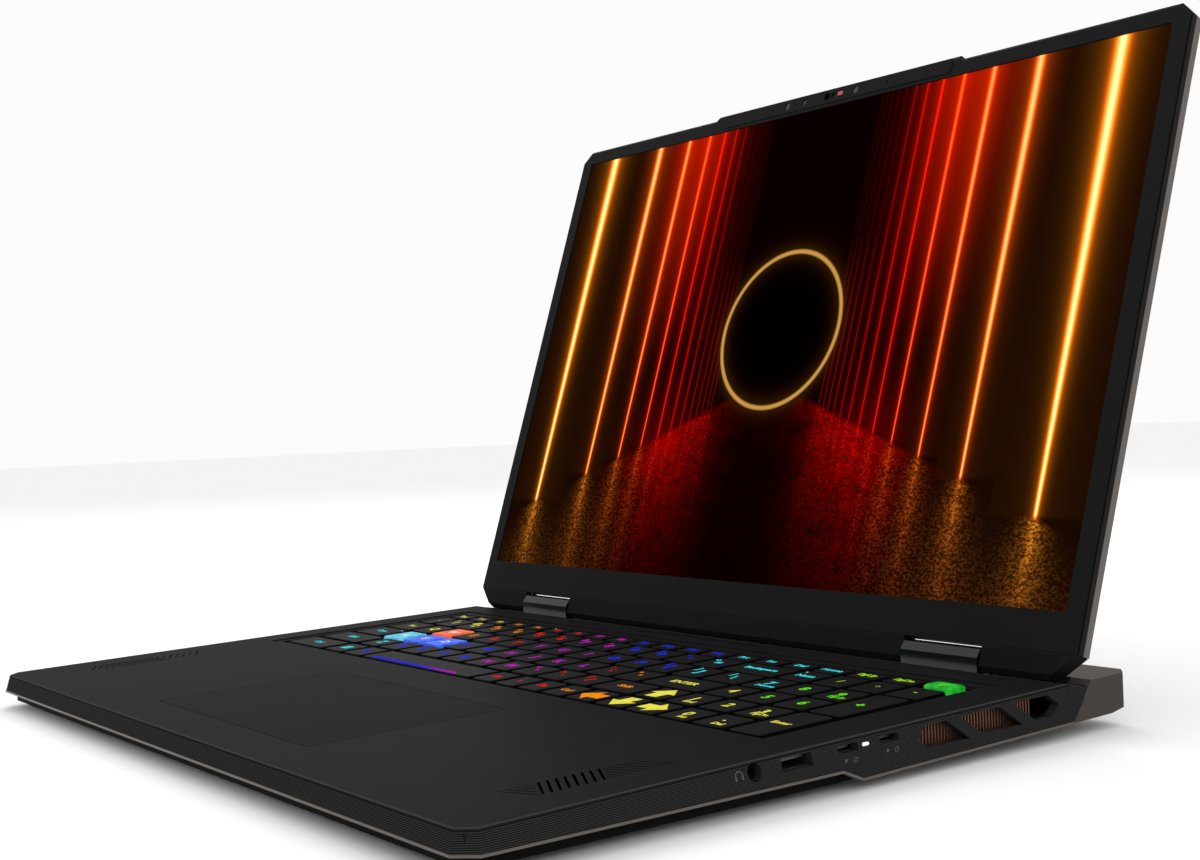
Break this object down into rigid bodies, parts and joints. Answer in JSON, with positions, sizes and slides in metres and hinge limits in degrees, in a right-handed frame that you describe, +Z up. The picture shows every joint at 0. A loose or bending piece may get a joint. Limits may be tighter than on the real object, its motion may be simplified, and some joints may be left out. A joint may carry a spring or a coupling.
{
  "type": "laptop computer",
  "caption": "Large open gaming laptop with a wedge-shaped base, full-width numeric keyboard, side and rear vents, rear exhaust block and a thin-bezel hinged screen.",
  "frame": {"origin": "on the desk, under the middle of the open laptop's bounding box", "axes": "+X to the user's right, +Y away from the user, +Z up; the desk is z = 0"},
  "size_m": [0.4044, 0.3636, 0.2844],
  "materials": {
    "deck_black": "matte",
    "trim_silver": "satin",
    "cover_black": "matte",
    "block_bronze": "satin",
    "lid_silver": "satin",
    "bezel_black": "matte",
    "hinge_gloss": "gloss",
    "key_black": "satin",
    "key_clear_red": "satin",
    "key_clear_cyan": "satin",
    "key_clear_blue": "satin",
    "power_green": "satin",
    "plate_metal": "satin",
    "touchpad_glass": "matte",
    "screen": "satin",
    "foot_rubber": "matte",
    "steel": "satin",
    "port_metal": "satin",
    "copper": "satin",
    "fin_metal": "satin",
    "board_green": "satin",
    "battery_foil": "satin",
    "inner_black": "matte",
    "light_clear": "gloss",
    "shutter_red": "satin"
  },
  "bodies": {
    "base": {"audio_jack": "inner_black", "base_trim_band": "trim_silver", "battery_pack": "battery_foil", "bottom_cover": "cover_black", "case_screws": "steel", "ethernet_port": "port_metal", "fan_housing_left": "inner_black", "fan_housing_right": "inner_black", "hdmi_port": "port_metal", "heat_pipes": "copper", "heatsink_fins": "fin_metal", "hinge_brackets": "steel", "hinge_cover_left": "hinge_gloss", "hinge_cover_right": "hinge_gloss", "hinge_pins": "steel", "keyboard_plate": "plate_metal", "mainboard": "board_green", "memory_modules": "board_green", "palm_rest_deck": "deck_black", "power_inlet": "inner_black", "rear_exhaust_block": "block_bronze", "rear_exhaust_cap": "block_bronze", "rubber_feet": "foot_rubber", "solid_state_drive": "board_green", "speaker_left": "inner_black", "speaker_right": "inner_black", "status_light": "light_clear", "usb_a_ports": "port_metal", "usb_c_ports": "port_metal"},
    "lid": {"lid_back_cover": "lid_silver", "screen_bezel": "bezel_black", "display_panel": "screen", "lid_hinge_strip": "bezel_black", "camera_module": "inner_black", "hinge_arms": "steel"},
    "shutter": {"camera_shutter": "shutter_red"},
    "fan_left": {"fan_wheel_left": "inner_black"},
    "fan_right": {"fan_wheel_right": "inner_black"},
    "pad": {"touchpad": "touchpad_glass"},
    "power": {"power_button": "power_green"},
    "function_keys": {"function_keys": "key_black"},
    "number_keys": {"number_keys": "key_black"},
    "backspace_key": {"backspace_key": "key_black"},
    "w_key": {"w_key": "key_clear_red"},
    "a_key": {"a_key": "key_clear_cyan"},
    "s_key": {"s_key": "key_clear_blue"},
    "d_key": {"d_key": "key_clear_blue"},
    "upper_letter_keys": {"upper_letter_keys": "key_black"},
    "home_letter_keys": {"home_letter_keys": "key_black"},
    "lower_letter_keys": {"lower_letter_keys": "key_black"},
    "enter_key": {"enter_key": "key_black"},
    "left_shift_key": {"left_shift_key": "key_black"},
    "right_shift_key": {"right_shift_key": "key_black"},
    "space_bar": {"space_bar": "key_black"},
    "modifier_keys": {"modifier_keys": "key_black"},
    "arrow_up_key": {"arrow_up_key": "key_black"},
    "arrow_left_key": {"arrow_left_key": "key_black"},
    "arrow_down_key": {"arrow_down_key": "key_black"},
    "arrow_right_key": {"arrow_right_key": "key_black"},
    "numpad_keys": {"numpad_keys": "key_black"}
  },
  "joints": [
    {"name": "lid_hinge", "type": "hinge", "parent": "base", "child": "lid", "pos_m": [0, 0.09002, 0.02509], "axis": [-1, 0, 0], "range_deg": [-110.02, 25]},
    {"name": "camera_shutter_slide", "type": "slide", "parent": "lid", "child": "shutter", "axis": [-1, 0, 0], "range_m": [0, 0.0042]},
    {"name": "touchpad_press", "type": "hinge", "parent": "base", "child": "pad", "pos_m": [0, -0.07584, 0.01661], "axis": [1, 0, 0], "range_deg": [0, 0.35], "stiffness_Nm_per_rad": 60, "springref_deg": -0.23},
    {"name": "fan_left_spin", "type": "hinge", "parent": "base", "child": "fan_left", "pos_m": [-0.13, 0.02542, 0.00947], "axis": [0, -0.0203, 0.9998], "continuous": true},
    {"name": "fan_right_spin", "type": "hinge", "parent": "base", "child": "fan_right", "pos_m": [0.13, 0.02542, 0.00947], "axis": [0, -0.0203, 0.9998], "continuous": true},
    {"name": "power_button_press", "type": "slide", "parent": "base", "child": "power", "axis": [0, 0.0203, -0.9998], "range_m": [0, 0.0006], "stiffness_N_per_m": 1200, "springref_m": -0.0002},
    {"name": "function_keys_press", "type": "slide", "parent": "base", "child": "function_keys", "axis": [0, 0.0203, -0.9998], "range_m": [0, 0.0015], "stiffness_N_per_m": 5700, "springref_m": -0.0003},
    {"name": "number_keys_press", "type": "slide", "parent": "base", "child": "number_keys", "axis": [0, 0.0203, -0.9998], "range_m": [0, 0.0015], "stiffness_N_per_m": 3900, "springref_m": -0.0003},
    {"name": "backspace_key_press", "type": "slide", "parent": "base", "child": "backspace_key", "axis": [0, 0.0203, -0.9998], "range_m": [0, 0.0015], "stiffness_N_per_m": 300, "springref_m": -0.0003},
    {"name": "w_key_press", "type": "slide", "parent": "base", "child": "w_key", "axis": [0, 0.0203, -0.9998], "range_m": [0, 0.0015], "stiffness_N_per_m": 300, "springref_m": -0.0003},
    {"name": "a_key_press", "type": "slide", "parent": "base", "child": "a_key", "axis": [0, 0.0203, -0.9998], "range_m": [0, 0.0015], "stiffness_N_per_m": 300, "springref_m": -0.0003},
    {"name": "s_key_press", "type": "slide", "parent": "base", "child": "s_key", "axis": [0, 0.0203, -0.9998], "range_m": [0, 0.0015], "stiffness_N_per_m": 300, "springref_m": -0.0003},
    {"name": "d_key_press", "type": "slide", "parent": "base", "child": "d_key", "axis": [0, 0.0203, -0.9998], "range_m": [0, 0.0015], "stiffness_N_per_m": 300, "springref_m": -0.0003},
    {"name": "upper_letter_keys_press", "type": "slide", "parent": "base", "child": "upper_letter_keys", "axis": [0, 0.0203, -0.9998], "range_m": [0, 0.0015], "stiffness_N_per_m": 3600, "springref_m": -0.0003},
    {"name": "home_letter_keys_press", "type": "slide", "parent": "base", "child": "home_letter_keys", "axis": [0, 0.0203, -0.9998], "range_m": [0, 0.0015], "stiffness_N_per_m": 2400, "springref_m": -0.0003},
    {"name": "lower_letter_keys_press", "type": "slide", "parent": "base", "child": "lower_letter_keys", "axis": [0, 0.0203, -0.9998], "range_m": [0, 0.0015], "stiffness_N_per_m": 3000, "springref_m": -0.0003},
    {"name": "enter_key_press", "type": "slide", "parent": "base", "child": "enter_key", "axis": [0, 0.0203, -0.9998], "range_m": [0, 0.0015], "stiffness_N_per_m": 300, "springref_m": -0.0003},
    {"name": "left_shift_key_press", "type": "slide", "parent": "base", "child": "left_shift_key", "axis": [0, 0.0203, -0.9998], "range_m": [0, 0.0015], "stiffness_N_per_m": 300, "springref_m": -0.0003},
    {"name": "right_shift_key_press", "type": "slide", "parent": "base", "child": "right_shift_key", "axis": [0, 0.0203, -0.9998], "range_m": [0, 0.0015], "stiffness_N_per_m": 300, "springref_m": -0.0003},
    {"name": "space_bar_press", "type": "slide", "parent": "base", "child": "space_bar", "axis": [0, 0.0203, -0.9998], "range_m": [0, 0.0015], "stiffness_N_per_m": 300, "springref_m": -0.0003},
    {"name": "modifier_keys_press", "type": "slide", "parent": "base", "child": "modifier_keys", "axis": [0, 0.0203, -0.9998], "range_m": [0, 0.0015], "stiffness_N_per_m": 2700, "springref_m": -0.0003},
    {"name": "arrow_up_key_press", "type": "slide", "parent": "base", "child": "arrow_up_key", "axis": [0, 0.0203, -0.9998], "range_m": [0, 0.0015], "stiffness_N_per_m": 300, "springref_m": -0.0003},
    {"name": "arrow_left_key_press", "type": "slide", "parent": "base", "child": "arrow_left_key", "axis": [0, 0.0203, -0.9998], "range_m": [0, 0.0015], "stiffness_N_per_m": 300, "springref_m": -0.0003},
    {"name": "arrow_down_key_press", "type": "slide", "parent": "base", "child": "arrow_down_key", "axis": [0, 0.0203, -0.9998], "range_m": [0, 0.0015], "stiffness_N_per_m": 300, "springref_m": -0.0003},
    {"name": "arrow_right_key_press", "type": "slide", "parent": "base", "child": "arrow_right_key", "axis": [0, 0.0203, -0.9998], "range_m": [0, 0.0015], "stiffness_N_per_m": 300, "springref_m": -0.0003},
    {"name": "numpad_keys_press", "type": "slide", "parent": "base", "child": "numpad_keys", "axis": [0, 0.0203, -0.9998], "range_m": [0, 0.0015], "stiffness_N_per_m": 5100, "springref_m": -0.0003}
  ]
}
